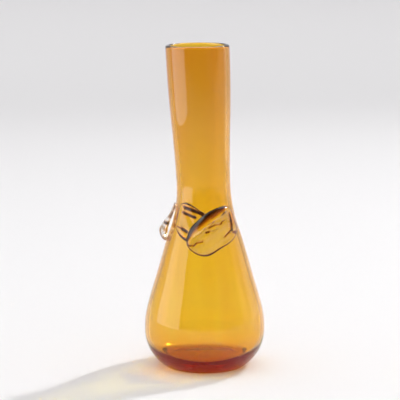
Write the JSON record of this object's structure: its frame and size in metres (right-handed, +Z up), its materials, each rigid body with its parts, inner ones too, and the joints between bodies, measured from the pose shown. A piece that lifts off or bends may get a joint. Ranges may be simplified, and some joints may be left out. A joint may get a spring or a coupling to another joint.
{
  "type": "bud vase",
  "caption": "Blown glass bud vase with a round belly, a slender leaning neck and clear glass tabs laid round the neck like a knotted scarf.",
  "frame": {"origin": "on the surface the vase stands on, under the middle of its foot", "axes": "+Z up the vase; -Y is the front, where the clear glass tab crosses the neck; the neck leans towards -X"},
  "size_m": [0.0896, 0.0896, 0.2402],
  "materials": {
    "amber_glass": "gloss",
    "clear_glass": "gloss"
  },
  "bodies": {
    "root": {"vase_body": "amber_glass", "under_band": "clear_glass", "front_tab": "clear_glass", "side_lobe": "clear_glass"}
  },
  "joints": []
}
